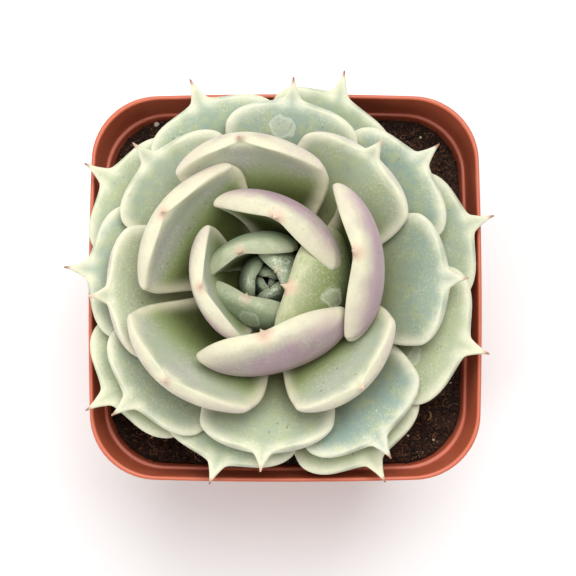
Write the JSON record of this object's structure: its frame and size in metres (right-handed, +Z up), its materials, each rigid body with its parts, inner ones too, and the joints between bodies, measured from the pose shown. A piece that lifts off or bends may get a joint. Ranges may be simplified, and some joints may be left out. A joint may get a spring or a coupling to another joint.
{
  "type": "potted succulent",
  "caption": "Rosette succulent with fleshy, spurred, pale green leaves on a short stem, rooted in soil in a square tapered plastic nursery pot.",
  "frame": {"origin": "middle of the pot's flat underside, on the surface it stands on", "axes": "+Z up; +X and +Y square to the pot's sides"},
  "size_m": [0.0753, 0.0728, 0.0875],
  "materials": {
    "terracotta_plastic": "satin moulded",
    "peat_soil": "rough, loose and fibrous",
    "stem_bark": "dull, scarred",
    "leaf_flesh": "waxy matte bloom"
  },
  "bodies": {
    "root": {"pot": "terracotta_plastic", "soil": "peat_soil", "stem": "stem_bark", "leaf_01": "leaf_flesh", "leaf_02": "leaf_flesh", "leaf_03": "leaf_flesh", "leaf_04": "leaf_flesh", "leaf_05": "leaf_flesh", "leaf_06": "leaf_flesh", "leaf_07": "leaf_flesh", "leaf_08": "leaf_flesh", "leaf_09": "leaf_flesh", "leaf_10": "leaf_flesh", "leaf_11": "leaf_flesh", "leaf_12": "leaf_flesh", "leaf_13": "leaf_flesh", "leaf_14": "leaf_flesh", "leaf_15": "leaf_flesh", "leaf_16": "leaf_flesh", "leaf_17": "leaf_flesh", "leaf_18": "leaf_flesh", "leaf_19": "leaf_flesh", "leaf_20": "leaf_flesh", "leaf_21": "leaf_flesh", "leaf_22": "leaf_flesh", "leaf_23": "leaf_flesh", "leaf_24": "leaf_flesh", "leaf_25": "leaf_flesh", "leaf_26": "leaf_flesh", "leaf_27": "leaf_flesh", "leaf_28": "leaf_flesh", "leaf_29": "leaf_flesh", "leaf_30": "leaf_flesh", "leaf_31": "leaf_flesh", "leaf_32": "leaf_flesh", "leaf_33": "leaf_flesh", "leaf_34": "leaf_flesh", "leaf_35": "leaf_flesh", "leaf_36": "leaf_flesh"}
  },
  "joints": []
}
